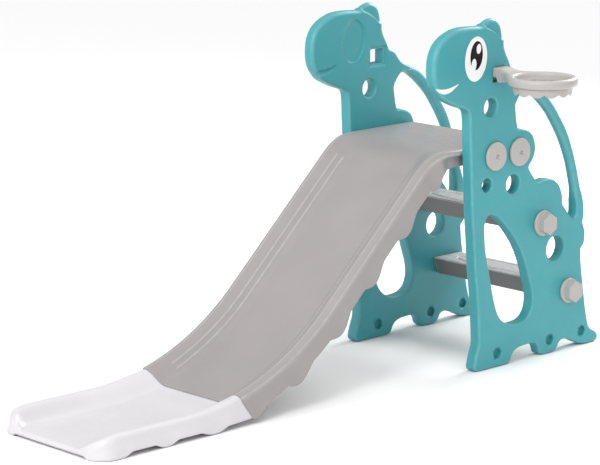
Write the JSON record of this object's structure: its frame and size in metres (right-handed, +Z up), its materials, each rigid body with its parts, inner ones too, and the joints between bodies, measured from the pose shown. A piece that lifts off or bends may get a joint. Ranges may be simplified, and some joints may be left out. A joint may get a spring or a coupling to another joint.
{
  "type": "toddler slide",
  "caption": "Indoor toddler slide with dinosaur-shaped side panels, moulded trough chute and exit, steps, hand-turned screws and a ball hoop.",
  "frame": {"origin": "middle of the whole slide's footprint, on the floor", "axes": "+Z up, +X from the chute's exit towards the steps, +Y towards the panel without the hoop"},
  "size_m": [1.76, 0.7524, 0.945],
  "materials": {
    "panel_plastic": "satin moulded polyethylene, teal",
    "chute_plastic": "satin moulded polyethylene, warm grey",
    "exit_plastic": "satin moulded polyethylene, white",
    "step_plastic": "satin moulded polyethylene, dark grey",
    "screw_plastic": "satin injection-moulded plastic, pale grey",
    "hoop_plastic": "satin injection-moulded plastic, pale grey",
    "decal": "printed vinyl film",
    "zinc_screw": "zinc-plated"
  },
  "bodies": {
    "root": {"left_side_panel": "panel_plastic", "right_side_panel": "panel_plastic", "deck_and_chute": "chute_plastic", "chute_exit": "exit_plastic", "lower_step": "step_plastic", "upper_step": "step_plastic", "left_eye_decal": "decal", "right_eye_decal": "decal", "left_mouth_decal": "decal", "right_mouth_decal": "decal", "left_joining_screw": "zinc_screw", "right_joining_screw": "zinc_screw"},
    "left_front_deck_screw": {"left_front_deck_screw": "screw_plastic"},
    "left_rear_deck_screw": {"left_rear_deck_screw": "screw_plastic"},
    "left_lower_step_screw": {"left_lower_step_screw": "screw_plastic"},
    "left_upper_step_screw": {"left_upper_step_screw": "screw_plastic"},
    "right_front_deck_screw": {"right_front_deck_screw": "screw_plastic"},
    "right_rear_deck_screw": {"right_rear_deck_screw": "screw_plastic"},
    "right_lower_step_screw": {"right_lower_step_screw": "screw_plastic"},
    "right_upper_step_screw": {"right_upper_step_screw": "screw_plastic"},
    "hoop": {"ball_hoop": "hoop_plastic", "hoop_skirt": "hoop_plastic"}
  },
  "joints": [
    {"name": "left_front_deck_screw_turn", "type": "hinge", "parent": "root", "child": "left_front_deck_screw", "pos_m": [0.44105, -0.13515, 0.579], "axis": [0, -1, 0], "continuous": true},
    {"name": "left_rear_deck_screw_turn", "type": "hinge", "parent": "root", "child": "left_rear_deck_screw", "pos_m": [0.53505, -0.13515, 0.579], "axis": [0, -1, 0], "continuous": true},
    {"name": "left_lower_step_screw_turn", "type": "hinge", "parent": "root", "child": "left_lower_step_screw", "pos_m": [0.74805, -0.13515, 0.166], "axis": [0, -1, 0], "continuous": true},
    {"name": "left_upper_step_screw_turn", "type": "hinge", "parent": "root", "child": "left_upper_step_screw", "pos_m": [0.63505, -0.13515, 0.371], "axis": [0, -1, 0], "continuous": true},
    {"name": "right_front_deck_screw_turn", "type": "hinge", "parent": "root", "child": "right_front_deck_screw", "pos_m": [0.44105, 0.35085, 0.579], "axis": [0, 1, 0], "continuous": true},
    {"name": "right_rear_deck_screw_turn", "type": "hinge", "parent": "root", "child": "right_rear_deck_screw", "pos_m": [0.53505, 0.35085, 0.579], "axis": [0, 1, 0], "continuous": true},
    {"name": "right_lower_step_screw_turn", "type": "hinge", "parent": "root", "child": "right_lower_step_screw", "pos_m": [0.74805, 0.35085, 0.166], "axis": [0, 1, 0], "continuous": true},
    {"name": "right_upper_step_screw_turn", "type": "hinge", "parent": "root", "child": "right_upper_step_screw", "pos_m": [0.63505, 0.35085, 0.371], "axis": [0, 1, 0], "continuous": true},
    {"name": "hoop_pull_out", "type": "slide", "parent": "root", "child": "hoop", "axis": [0, -1, 0], "range_m": [0, 0.045]}
  ]
}
